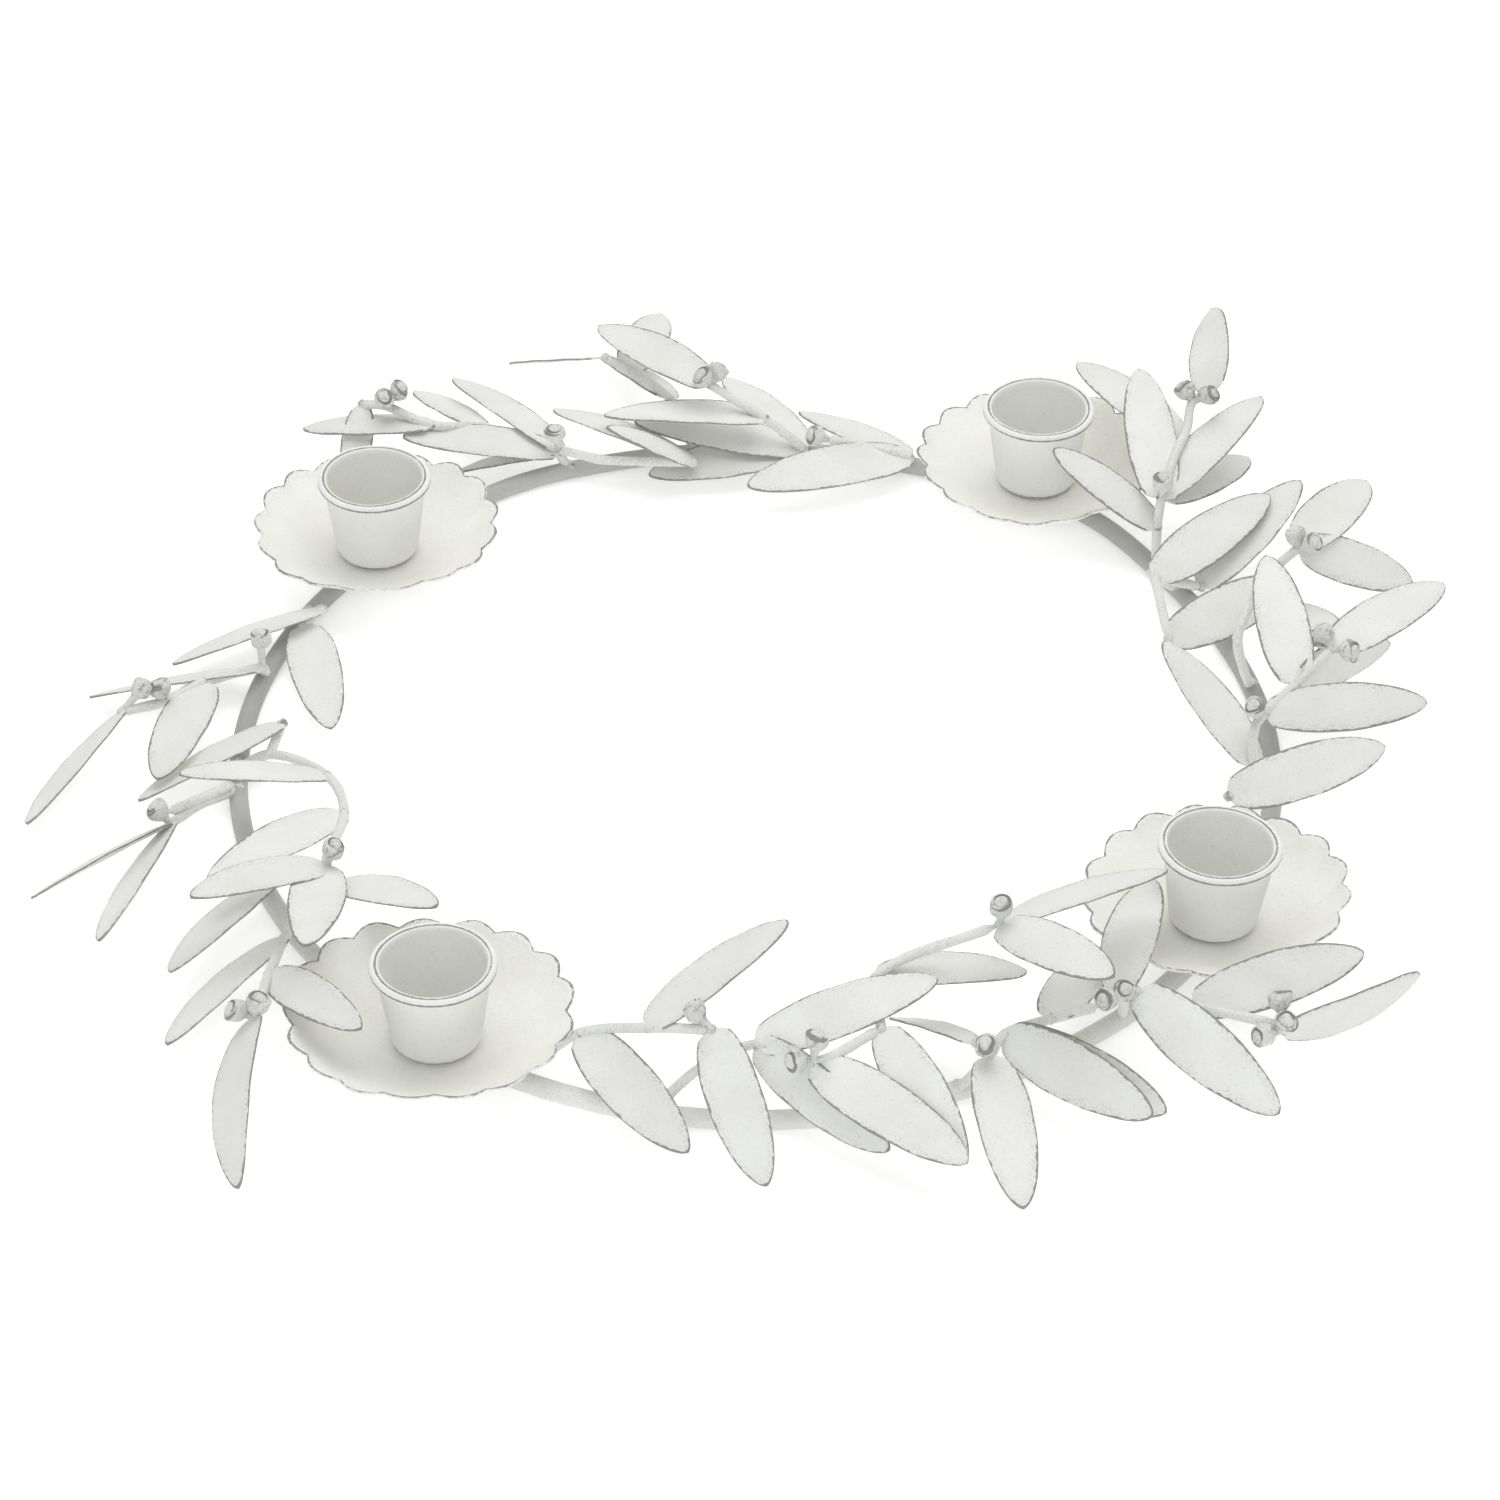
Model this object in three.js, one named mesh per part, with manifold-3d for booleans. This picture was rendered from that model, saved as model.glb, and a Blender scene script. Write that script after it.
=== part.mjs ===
// Advent wreath in white-painted steel. A ring of round rod lies on the table and
// carries four scalloped dishes, each with a candle cup, and nineteen welded sprigs
// of long leaves and berries. Millimetres, +Z up. Places in the tables below are
// measured from the ring's centre, with z = 0 at the table.

import * as THREE from 'three';
import { mergeVertices } from 'three/addons/utils/BufferGeometryUtils.js';
import Module from 'manifold-3d';

const wasm = await Module();
wasm.setup();

// Clearance between two pieces that are welded or seated on each other.
const SEAT_GAP = 0.3;

// Ring: round rod bent by hand to a slightly long circle. It stands out beyond it at
// three places: [direction in degrees, by how much, over how many degrees to each side].
const RING_HALF_X = 140;
const RING_HALF_Y = 146;
const RING_BULGES = [[50, 4.8, 12], [-92, 2, 20], [118, 1.6, 10]];
const ROD_RADIUS = 2.6;
const RING_STEPS = 64;
const ROD_SIDES = 8;

// Dish: thin sheet, flat in the middle, with a raised edge of round lobes.
const DISH_FLAT = 13.5;
const DISH_SHEET = 1;
const DISH_LOBES = 17;
const LOBE_STEPS = 4;
const NOTCH_DEPTH = 2.2;
const LOBE_LIFT = 0.9;
const EDGE_WAVE = 0.7;

// Candle cup: a tapered beaker with a rolled rim.
const CUP_HEIGHT = 25.2;
const CUP_BASE_RADIUS = 11.5;
const CUP_TOP_RADIUS = 14.5;
const CUP_RIM_RADIUS = 16;
const CUP_WALL = 1.1;
const CUP_SIDES = 18;

// Leaf: a long sheet-metal blade, widest a little before its middle.
const LEAF_WIDTH_SHARE = 0.315;
const LEAF_SHEET = 0.9;
const LEAF_BOW = 1.2;
const LEAF_STEPS = 5;
const LEAF_ROOT_SHARE = 0.05;
const LEAF_TIP_HALF = 1.2;

// Twig and berry.
const TWIG_RADIUS = 1.35;
const TWIG_SIDES = 5;
const TWIG_STEPS = 2;
const BERRY_RADIUS = 3.1;
const BERRY_SIDES = 6;

// The four dishes: centre, radius, how far the edge rises, how much higher it is on
// its high side and where that is in degrees, the lean of dish and cup to the right in
// degrees, and how far the cup sits beside the dish's centre.
const DISHES = [
  {
    name: 'front_left', x: -82, y: -121.5, radius: 36.5, rise: 10,
    highBy: 1, highSide: 235, lean: 0, cupShift: 1.5,
  },
  {
    name: 'front_right', x: 118.5, y: -74.5, radius: 34.5, rise: 9.5,
    highBy: 3, highSide: 0, lean: 1.5, cupShift: 0,
  },
  {
    name: 'back_right', x: 81.5, y: 125.5, radius: 34.5, rise: 8.5,
    highBy: 0, highSide: 0, lean: 0, cupShift: 0,
  },
  {
    name: 'back_left', x: -107.5, y: 90.5, radius: 34.5, rise: 9.5,
    highBy: 0, highSide: 0, lean: 0, cupShift: 0,
  },
];

// The sprigs. joints: points [x, y, z] that the twigs run through, of which the first is
// the foot on the ring. twigs: lists of joint numbers. leaves: [joint, heading, rise,
// roll, length, bow] with the heading in degrees from +X towards +Y, the rise above
// level, the roll that lifts the right-hand edge, and a bow only where it isn't the
// usual one. berries: [joint, x, y, z of the berry's middle].
const SPRIGS = [
  {
    name: 'sprig_left_1',
    joints: [[-124, 63, 3], [-126, 53, 7], [-121, 58, 9]],
    twigs: [[0, 2, 1]],
    leaves: [[2, -151, -3, -22, 46], [1, -77, -2, -5, 46]],
    berries: [],
  },
  {
    name: 'sprig_left_2',
    joints: [[-136, 35, 3], [-136, 32, 8], [-151, 23, 10], [-161, 13, 11], [-172, 7, 12]],
    twigs: [[0, 1, 2, 3, 4]],
    leaves: [[1, -168, -3, -28, 48], [2, -101, 2, 0, 46], [4, -119, -9, -37, 46, 0.3]],
    berries: [[1, -136, 33, 17], [4, -167, 12, 16], [3, -162, 13, 15]],
  },
  {
    name: 'sprig_left_3',
    joints: [
      [-141, -6, 3], [-128, 2, 12], [-114, -25, 15], [-108, -46, 19], [-111, -70, 21],
      [-131, -8, 9], [-109, -70, 15],
    ],
    twigs: [[0, 5, 2, 3, 4, 6], [5, 1]],
    leaves: [
      [1, -144, -7, -20, 46],
      [2, -158, 17, -10, 42],
      [3, -136, 3, 0, 46],
      [4, -136, 18, 0, 46],
      [4, -93, 13, 12, 46],
      [6, -48, 23, 2, 46],
    ],
    berries: [[4, -109, -70, 26]],
  },
  {
    name: 'sprig_left_4',
    joints: [[-140, -16, 3], [-147, -29, 9], [-154, -44, 14], [-141, -19, 7], [-155, -42, 16]],
    twigs: [[0, 1, 2], [3, 4]],
    leaves: [[2, -136, 1, -40, 46, 0.2], [2, -109, -5, -41, 46]],
    berries: [[2, -157, -44, 18]],
  },
  {
    name: 'sprig_left_5',
    joints: [[-130, -55, 3], [-127, -61, 8]],
    twigs: [[0, 1]],
    leaves: [[1, -119, 4, -22, 46]],
    berries: [],
  },
  {
    name: 'sprig_left_6',
    joints: [[-121, -74, 3], [-121, -87, 11], [-123, -110, 18], [-125, -130, 21]],
    twigs: [[0, 1, 2, 3]],
    leaves: [[1, -127, -6, -27, 46], [2, -48, 9, -22, 38], [3, -92, -20, -45, 48, 4]],
    berries: [[3, -129, -131, 24], [3, -124, -130, 25]],
  },
  {
    name: 'sprig_front_1',
    joints: [[-63, -131, 3], [-55, -130, 7], [-44, -128, 14], [-27, -133, 20], [-11, -136, 22]],
    twigs: [[0, 1, 2, 3, 4]],
    leaves: [[2, -53, -9, -30, 46], [3, 38, 15, 8, 46], [4, -72, -18, -25, 46]],
    berries: [[4, -15, -134, 26]],
  },
  {
    name: 'sprig_front_2',
    joints: [
      [-26, -144, 3], [-13, -138, 12], [0, -138, 19], [6, -140, 19], [14, -146, 20],
      [31, -138, 24], [30, -123, 28], [61, -112, 36],
    ],
    twigs: [[0, 1, 2, 3, 4, 5], [5, 6, 7]],
    leaves: [
      [2, 14, 14, -15, 48],
      [2, -40, -14, -55, 44],
      [4, -38, -8, -20, 48],
      [5, -60, -18, -25, 42],
      [6, 22, -15, 0, 43],
      [7, -51, 14, -20, 43],
      [7, 21, 5, 20, 46],
    ],
    berries: [[4, 15, -145, 26], [4, 10, -148, 22], [7, 61, -113, 42]],
  },
  {
    name: 'sprig_front_3',
    joints: [
      [50, -136, 3], [55, -139, 11], [58, -138, 15], [62, -131, 16], [74, -125, 16],
      [86, -119, 15], [55, -133, 15],
    ],
    twigs: [[0, 1, 2, 3, 4, 5], [2, 6]],
    leaves: [
      [2, -81, -13, 0, 46],
      [3, -40, -1, -45, 46],
      [3, -31, -6, -45, 46],
      [4, 68, -14, 5, 46],
      [6, 137, -17, -20, 30],
    ],
    berries: [[2, 57, -140, 20]],
  },
  {
    name: 'sprig_front_4',
    joints: [
      [93, -109, 3], [93, -114, 12], [91, -119, 19], [96, -118, 19], [110, -119, 15],
      [127, -126, 16], [132, -129, 16],
    ],
    twigs: [[0, 1, 2], [2, 3, 4, 5, 6]],
    leaves: [
      [2, 76, 1, 12, 46, 3],
      [3, -46, -12, -35, 49],
      [4, 16, 9, -30, 46],
      [6, 36, -6, 80, 46, -3],
    ],
    berries: [
      [2, 88, -123, 21],
      [2, 92, -121, 22],
      [6, 131, -124, 21],
      [6, 127, -132, 17],
      [6, 132, -131, 20],
    ],
  },
  {
    name: 'sprig_right_1',
    joints: [[139, -16, 3], [130, -27, 10], [125, -35, 16]],
    twigs: [[0, 1, 2]],
    leaves: [[2, 21, 5, -40, 46]],
    berries: [],
  },
  {
    name: 'sprig_right_2',
    joints: [[140, -7, 3], [134, -14, 10], [134, -8, 18], [137, -4, 20], [146, 4, 24], [156, 14, 28]],
    twigs: [[0, 1, 2, 3, 4, 5]],
    leaves: [
      [1, 121, 17, -7, 46],
      [3, 5, 1, -35, 44],
      [4, 97, 13, 15, 46],
      [5, 43, -1, -10, 46],
      [4, 46, -12, 105, 42],
      [5, 97, -19, 0, 43],
    ],
    berries: [[3, 134, -7, 24], [5, 154, 17, 31], [5, 160, 11, 30]],
  },
  {
    name: 'sprig_right_3',
    joints: [[137, 30, 3], [134, 26, 12], [132, 28, 22], [143, 48, 30], [150, 53, 34]],
    twigs: [[0, 1, 2, 3, 4]],
    leaves: [[4, 61, -8, -10, 48], [4, 20, -30, -50, 42]],
    berries: [[4, 153, 50, 37], [4, 149, 54, 37]],
  },
  {
    name: 'sprig_right_4',
    joints: [[120, 75, 3], [112, 76, 8], [112, 68, 13], [114, 38, 14], [126, 73, 6]],
    twigs: [[0, 1, 2, 3], [2, 4]],
    leaves: [[3, 38, -1, -50, 46], [2, 41, 9, -25, 46], [4, 47, 18, -5, 46]],
    berries: [],
  },
  {
    name: 'sprig_right_5',
    joints: [
      [113, 86, 3], [114, 88, 16], [115, 91, 24], [120, 105, 31], [123, 112, 33],
      [125, 119, 38], [131, 124, 38], [122, 118, 26],
    ],
    twigs: [[0, 1, 2, 3, 4, 5, 6], [3, 7]],
    leaves: [
      [1, 152, 26, 15, 37],
      [2, 96, 19, 10, 46],
      [2, 47, 16, 5, 46],
      [2, 49, -11, -15, 43],
      [7, 127, 2, 0, 46],
      [6, 86, -1, 37, 45],
    ],
    berries: [[2, 115, 91, 29], [5, 123, 120, 41], [5, 129, 118, 41]],
  },
  {
    name: 'sprig_back_1',
    joints: [[44, 139, 3], [45, 135, 8], [33, 137, 10], [21, 138, 12]],
    twigs: [[0, 1, 2, 3]],
    leaves: [[1, 138, -5, -10, 43], [1, -161, 1, 15, 50]],
    berries: [[3, 18, 137, 14]],
  },
  {
    name: 'sprig_back_2',
    joints: [[13, 145, 3], [14, 139, 8], [3, 140, 18], [-8, 143, 24], [-13, 144, 27]],
    twigs: [[0, 1, 2, 3, 4]],
    leaves: [
      [1, 120, -2, -8, 46],
      [1, -169, -4, 17, 46],
      [1, 174, 7, 5, 50],
      [2, -179, 2, -5, 47],
      [4, 139, 2, 10, 44],
    ],
    berries: [[4, -15, 143, 30], [4, -11, 146, 30]],
  },
  {
    name: 'sprig_back_3',
    joints: [[-18, 145, 3], [-21, 150, 9], [-25, 156, 14], [-37, 161, 21], [-44, 163, 24]],
    twigs: [[0, 1, 2, 3, 4]],
    leaves: [[2, 119, -13, -21, 44], [4, 142, -25, -25, 41, 0.3], [3, 78, -10, -12, 43]],
    berries: [],
  },
  {
    name: 'sprig_back_4',
    joints: [
      [-54, 135, 3], [-57, 136, 9], [-45, 132, 9], [-33, 131, 9], [-18, 129, 10],
      [-68, 141, 10], [-80, 143, 13], [-94, 138, 17], [-108, 145, 19], [-115, 149, 17],
    ],
    twigs: [[0, 1, 2, 3, 4], [1, 5, 6, 7, 8, 9]],
    leaves: [
      [1, -178, 8, 5, 46],
      [1, 135, 5, -20, 46],
      [1, -172, -8, -13, 30],
      [4, 154, 6, -18, 46],
      [4, -168, 32, 5, 30],
      [6, 125, -12, -15, 38],
      [7, 168, -10, -5, 40],
      [9, -96, -30, -5, 30],
    ],
    berries: [[1, -58, 135, 16], [8, -108, 142, 23], [8, -104, 145, 24]],
  },
];

const PAINT = { roughness: 0.85, metalness: 0.05 };
const ringPaint = new THREE.MeshStandardMaterial({ color: 0xe4e4de, ...PAINT });
const dishPaint = new THREE.MeshStandardMaterial({ color: 0xe8e8e2, ...PAINT });
const cupPaint = new THREE.MeshStandardMaterial({ color: 0xeeeee8, ...PAINT });
const sprigPaint = new THREE.MeshStandardMaterial({ color: 0xe6e6df, ...PAINT });

// A closed mesh as a solid that can be joined and cut.
function toSolid(geometry) {
  const bare = geometry.clone();
  bare.deleteAttribute('normal');
  bare.deleteAttribute('uv');
  const merged = mergeVertices(bare, 1e-4);
  const index = merged.index.array;
  const triVerts = [];
  for (let i = 0; i < index.length; i += 3) {
    const [a, b, c] = index.slice(i, i + 3);
    const hasArea = a !== b && b !== c && c !== a;
    if (hasArea) {
      triVerts.push(a, b, c);
    }
  }
  return new wasm.Manifold(new wasm.Mesh({
    numProp: 3,
    vertProperties: merged.attributes.position.array,
    triVerts: Uint32Array.from(triVerts),
  }));
}

function toGeometry(solid) {
  const mesh = solid.getMesh();
  const geometry = new THREE.BufferGeometry();
  geometry.setAttribute('position', new THREE.BufferAttribute(mesh.vertProperties, 3));
  geometry.setIndex(new THREE.BufferAttribute(mesh.triVerts, 1));
  geometry.computeVertexNormals();
  return geometry;
}

// A profile [radius, height] turned round the vertical axis.
function turned(profile, sides) {
  const points = profile.map(([radius, height]) => new THREE.Vector2(radius, height));
  const geometry = new THREE.LatheGeometry(points, sides);
  geometry.rotateX(Math.PI / 2);
  return geometry;
}

// How far the ring stands out beyond its ellipse in the direction of a point.
function ringBulge(x, y) {
  const direction = THREE.MathUtils.radToDeg(Math.atan2(y / RING_HALF_Y, x / RING_HALF_X));
  let bulge = 0;
  for (const [middle, greatest, spread] of RING_BULGES) {
    bulge += greatest * Math.exp(-(((direction - middle) / spread) ** 2));
  }
  return bulge;
}

// A sprig's foot, moved straight outwards or inwards onto the ring's middle line.
function footOnRing(x, y, z) {
  const ellipseShare = Math.hypot(x / RING_HALF_X, y / RING_HALF_Y);
  const scale = 1 / ellipseShare + ringBulge(x, y) / Math.hypot(x, y);
  return new THREE.Vector3(x * scale, y * scale, z);
}

// The rod of the ring, with a flat side down. A wider rod with the same middle
// gives the space that a sprig's foot has to leave free.
function ringGeometry(rodRadius) {
  const meanRadius = (RING_HALF_X + RING_HALF_Y) / 2;
  const corner = rodRadius / Math.cos(Math.PI / ROD_SIDES);
  const profile = [];
  for (let i = 0; i <= ROD_SIDES; i += 1) {
    const turn = (2 * Math.PI * (i + 0.5)) / ROD_SIDES;
    profile.push([meanRadius + corner * Math.cos(turn), ROD_RADIUS + corner * Math.sin(turn)]);
  }
  const geometry = turned(profile, RING_STEPS);
  geometry.scale(RING_HALF_X / meanRadius, RING_HALF_Y / meanRadius, 1);
  const position = geometry.attributes.position;
  for (let i = 0; i < position.count; i += 1) {
    const x = position.getX(i);
    const y = position.getY(i);
    const scale = 1 + ringBulge(x, y) / Math.hypot(x, y);
    position.setXY(i, x * scale, y * scale);
  }
  return geometry;
}

// The dish's edge: each lobe is one arch of a sine, so lobes are round and meet in
// pointed notches. The lobes rise a little, a slow wave runs round the edge, and one
// side of the edge is bent higher than the other.
function dishGeometry(dish, wavePhase) {
  const middle = (DISH_FLAT + dish.radius) / 2;
  const middleRise = dish.rise * 0.36;
  const highSide = THREE.MathUtils.degToRad(dish.highSide);
  const profile = [
    [0, 0],
    [DISH_FLAT, 0],
    [middle, middleRise],
    [dish.radius, dish.rise],
    [dish.radius, dish.rise + DISH_SHEET],
    [middle, middleRise + DISH_SHEET],
    [DISH_FLAT, DISH_SHEET],
    [0, DISH_SHEET],
  ];
  const geometry = turned(profile, DISH_LOBES * LOBE_STEPS);
  const position = geometry.attributes.position;
  for (let i = 0; i < position.count; i += 1) {
    const x = position.getX(i);
    const y = position.getY(i);
    const radius = Math.hypot(x, y);
    const angle = Math.atan2(y, x);
    const outward = Math.max(0, (radius - DISH_FLAT) / (dish.radius - DISH_FLAT)) ** 2;
    const lobe = Math.abs(Math.sin((DISH_LOBES * angle) / 2));
    const shrink = 1 - (NOTCH_DEPTH / dish.radius) * outward * (1 - lobe);
    const wave = EDGE_WAVE * Math.sin(3 * angle + wavePhase);
    const tilt = dish.highBy * Math.cos(angle - highSide);
    const lift = outward * (LOBE_LIFT * lobe + wave + tilt);
    position.setXYZ(i, x * shrink, y * shrink, position.getZ(i) + lift);
  }
  return geometry;
}

function cupGeometry() {
  const rimLow = CUP_HEIGHT - 2.3;
  return turned([
    [0, 0],
    [CUP_BASE_RADIUS - 1.8, 0],
    [CUP_BASE_RADIUS, 1.6],
    [CUP_TOP_RADIUS, rimLow],
    [CUP_RIM_RADIUS, rimLow + 0.7],
    [CUP_RIM_RADIUS, CUP_HEIGHT - 0.6],
    [CUP_RIM_RADIUS - 1, CUP_HEIGHT],
    [CUP_TOP_RADIUS - 0.5, CUP_HEIGHT - 0.6],
    [CUP_TOP_RADIUS - CUP_WALL, rimLow],
    [CUP_BASE_RADIUS - CUP_WALL, 2.6],
    [CUP_BASE_RADIUS - CUP_WALL - 1.4, CUP_WALL],
    [0, CUP_WALL],
  ], CUP_SIDES);
}

// Half the width of a leaf as a share of its greatest, at a share of its length. The
// outline starts a little way in, so the root is blunt.
function leafOutline(along) {
  const skewed = LEAF_ROOT_SHARE + (1 - LEAF_ROOT_SHARE) * along ** 0.87;
  return (4 * skewed * (1 - skewed)) ** 0.56;
}

// A leaf lies along +X from its root at the origin, with a slight bow upwards.
function leafGeometry(length, greatestBow) {
  const halfWidth = (length * LEAF_WIDTH_SHARE) / 2;
  const geometry = new THREE.BoxGeometry(1, 2, LEAF_SHEET, LEAF_STEPS, 1, 1);
  const position = geometry.attributes.position;
  for (let i = 0; i < position.count; i += 1) {
    const even = Math.min(1, Math.max(0, position.getX(i) + 0.5));
    const along = (1 - Math.cos(Math.PI * even)) / 2;
    const half = Math.max(LEAF_TIP_HALF, halfWidth * leafOutline(along));
    const bow = greatestBow * 4 * along * (1 - along);
    position.setXYZ(i, along * length, position.getY(i) * half, position.getZ(i) + bow);
  }
  return geometry;
}

// A round twig. Each stretch between two joints has the same number of steps, so the
// twig passes exactly through its joints.
function twigGeometry(points) {
  const section = new THREE.Shape();
  for (let i = 0; i < TWIG_SIDES; i += 1) {
    const turn = (2 * Math.PI * i) / TWIG_SIDES;
    const x = TWIG_RADIUS * Math.cos(turn);
    const y = TWIG_RADIUS * Math.sin(turn);
    if (i === 0) {
      section.moveTo(x, y);
    } else {
      section.lineTo(x, y);
    }
  }
  section.closePath();
  const steps = (points.length - 1) * TWIG_STEPS;
  const path = new THREE.CatmullRomCurve3(points);
  path.getUtoTmapping = (share) => share;
  return new THREE.ExtrudeGeometry(section, { steps, bevelEnabled: false, extrudePath: path });
}

// A berry: a dome on a cone that narrows down to the joint it grows from.
function berryGeometry(root, middle) {
  const axis = new THREE.Vector3().subVectors(middle, root);
  const stalk = axis.length();
  const geometry = turned([
    [0, -stalk],
    [TWIG_RADIUS * 0.8, -stalk],
    [BERRY_RADIUS * 0.92, -1.2],
    [BERRY_RADIUS, 0.8],
    [BERRY_RADIUS * 0.7, 2.6],
    [0, 3.3],
  ], BERRY_SIDES);
  const up = new THREE.Vector3(0, 0, 1);
  geometry.applyQuaternion(new THREE.Quaternion().setFromUnitVectors(up, axis.normalize()));
  geometry.translate(middle.x, middle.y, middle.z);
  return geometry;
}

// Twigs, leaves and berries of one sprig as one body, with its foot cut to the ring.
function sprigGeometry(sprig, ringSpace) {
  const joints = sprig.joints.map((place) => new THREE.Vector3(...place));
  joints[0] = footOnRing(...sprig.joints[0]);
  const parts = sprig.twigs.map((twig) => twigGeometry(twig.map((number) => joints[number])));
  for (const [joint, heading, rise, roll, length, bow = LEAF_BOW] of sprig.leaves) {
    const leaf = leafGeometry(length, bow);
    leaf.rotateX(THREE.MathUtils.degToRad(-roll));
    leaf.rotateY(THREE.MathUtils.degToRad(-rise));
    leaf.rotateZ(THREE.MathUtils.degToRad(heading));
    leaf.translate(...joints[joint].toArray());
    parts.push(leaf);
  }
  for (const [joint, ...middle] of sprig.berries) {
    parts.push(berryGeometry(joints[joint], new THREE.Vector3(...middle)));
  }
  const fused = parts.map(toSolid).reduce((whole, part) => whole.add(part));
  const bodies = fused.subtract(ringSpace).decompose();
  bodies.sort((one, other) => other.volume() - one.volume());
  return toGeometry(bodies[0]);
}

const wreath = new THREE.Group();

function addPiece(name, geometry, material, parent) {
  const piece = new THREE.Mesh(geometry, material);
  piece.name = name;
  parent.add(piece);
  return piece;
}

addPiece('ring', ringGeometry(ROD_RADIUS), ringPaint, wreath);

DISHES.forEach((dish, number) => {
  const seat = new THREE.Group();
  const lean = THREE.MathUtils.degToRad(dish.lean);
  const lift = 2 * ROD_RADIUS + SEAT_GAP + DISH_FLAT * Math.sin(lean) * 0.7;
  seat.position.set(dish.x, dish.y, lift);
  seat.rotation.y = lean;
  wreath.add(seat);
  addPiece(`dish_${dish.name}`, dishGeometry(dish, 2 * number), dishPaint, seat);
  const cup = addPiece(`cup_${dish.name}`, cupGeometry(), cupPaint, seat);
  cup.position.set(dish.cupShift, 0, DISH_SHEET + SEAT_GAP);
});

const ringSpace = toSolid(ringGeometry(ROD_RADIUS + SEAT_GAP));
for (const sprig of SPRIGS) {
  addPiece(sprig.name, sprigGeometry(sprig, ringSpace), sprigPaint, wreath);
}

// The origin is the middle of the underside of the whole wreath.
wreath.updateMatrixWorld(true);
const outline = new THREE.Box3().setFromObject(wreath, true);
const centre = outline.getCenter(new THREE.Vector3());
wreath.position.set(-centre.x, -centre.y, -outline.min.z);

export default wreath;
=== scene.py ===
# %% [markdown]
# # An advent wreath in worn white paint
#
# A ring of round steel rod lies on the table. Four scalloped dishes with candle cups and
# nineteen sprigs of sheet-metal leaves and berries are welded to it, and all of it is
# painted a chalky white that has rubbed through along the edges.
#
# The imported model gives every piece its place. Each of its nodes is replaced here by a
# finer surface of the same form. Shapes are worked out in millimetres from the ring's
# middle, and become Blender's metres in one place, when a surface turns into a mesh.
# The middle follows from the ring's box: half way from left to right, and half the
# ring's depth in front of its back, because the front is bent out of its ellipse.

import math

import bpy
import numpy as np
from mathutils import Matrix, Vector


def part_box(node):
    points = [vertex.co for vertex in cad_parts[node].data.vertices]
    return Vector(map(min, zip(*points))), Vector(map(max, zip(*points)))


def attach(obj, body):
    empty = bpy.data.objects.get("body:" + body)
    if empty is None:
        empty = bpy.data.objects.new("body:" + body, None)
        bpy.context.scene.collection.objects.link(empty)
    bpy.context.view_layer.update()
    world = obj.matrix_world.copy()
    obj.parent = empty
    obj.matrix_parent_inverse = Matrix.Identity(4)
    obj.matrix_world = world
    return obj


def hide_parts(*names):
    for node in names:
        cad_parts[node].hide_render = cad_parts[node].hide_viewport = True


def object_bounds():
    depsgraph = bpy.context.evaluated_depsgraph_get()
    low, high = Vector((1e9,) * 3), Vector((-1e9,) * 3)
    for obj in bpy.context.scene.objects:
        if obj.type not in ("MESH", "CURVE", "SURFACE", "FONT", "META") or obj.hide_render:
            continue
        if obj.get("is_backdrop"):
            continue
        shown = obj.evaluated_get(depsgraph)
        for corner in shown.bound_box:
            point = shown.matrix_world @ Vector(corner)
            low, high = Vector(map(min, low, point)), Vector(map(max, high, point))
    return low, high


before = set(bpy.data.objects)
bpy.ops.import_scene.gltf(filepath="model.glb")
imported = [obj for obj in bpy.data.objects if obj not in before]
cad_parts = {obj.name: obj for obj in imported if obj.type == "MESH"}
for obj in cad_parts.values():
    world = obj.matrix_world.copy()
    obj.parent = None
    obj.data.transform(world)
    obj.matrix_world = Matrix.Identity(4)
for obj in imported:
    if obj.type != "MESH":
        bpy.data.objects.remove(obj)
cad_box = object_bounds()
RING_HALF_Y = 146.0
ROD_RADIUS = 2.6
ring_low, ring_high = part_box("ring")
middle_x = (ring_low[0] + ring_high[0]) / 2
middle_y = ring_high[1] - (RING_HALF_Y + ROD_RADIUS) / 1000.0
RING_MIDDLE = np.array([middle_x, middle_y, 0.0])
print("nodes:", len(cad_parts), "- ring's middle in metres:", RING_MIDDLE.round(5))

# %% [markdown]
# The photograph looks at the wreath from the front and from above, through a long lens,
# so far pieces are hardly smaller than near ones. A camera is described best by what it
# looks at, how far away it stands and how steeply it looks down. Its turn then follows
# from the steepness alone, because it stands straight in front.

# %% Camera
LOOKS_AT = np.array([-1.5, 5.6, 0.0])
CAMERA_DISTANCE = 1392.0
CAMERA_STEEPNESS = math.radians(37.8)
LENS = 122.5


def in_scene(points):
    """Millimetres from the ring's middle, as metres in the scene: divide and shift."""
    return RING_MIDDLE + np.asarray(points, float) / 1000.0


towards_camera = np.array([0.0, -math.cos(CAMERA_STEEPNESS), math.sin(CAMERA_STEEPNESS)])
camera_data = bpy.data.cameras.new("front_camera")
camera_data.lens = LENS
camera_data.sensor_width = 36.0
camera_data.clip_end = 20.0
camera = bpy.data.objects.new("front_camera", camera_data)
camera.location = in_scene(LOOKS_AT + CAMERA_DISTANCE * towards_camera)
camera.rotation_euler = (math.pi / 2 - CAMERA_STEEPNESS, 0.0, 0.0)
bpy.context.collection.objects.link(camera)
bpy.context.scene.camera = camera
print("camera stands at", np.round(camera.location, 3))

# %% [markdown]
# A surface here is a grid of points: rows follow each other along a path or from the
# middle of a disc outwards, and the points of one row run once round. Neighbouring rows
# are joined by four-sided faces. The first and the last row get one face each, so the
# skin is closed. If a row runs anticlockwise round the direction in which rows follow
# each other, all faces point outwards, and the signed volume printed below is positive.


# %% Grids of points become closed skins
def once_round(count):
    """So many angles from 0 up to a full turn, as one row of a grid."""
    return np.linspace(0, 2 * np.pi, count, endpoint=False)[None, :]


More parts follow.
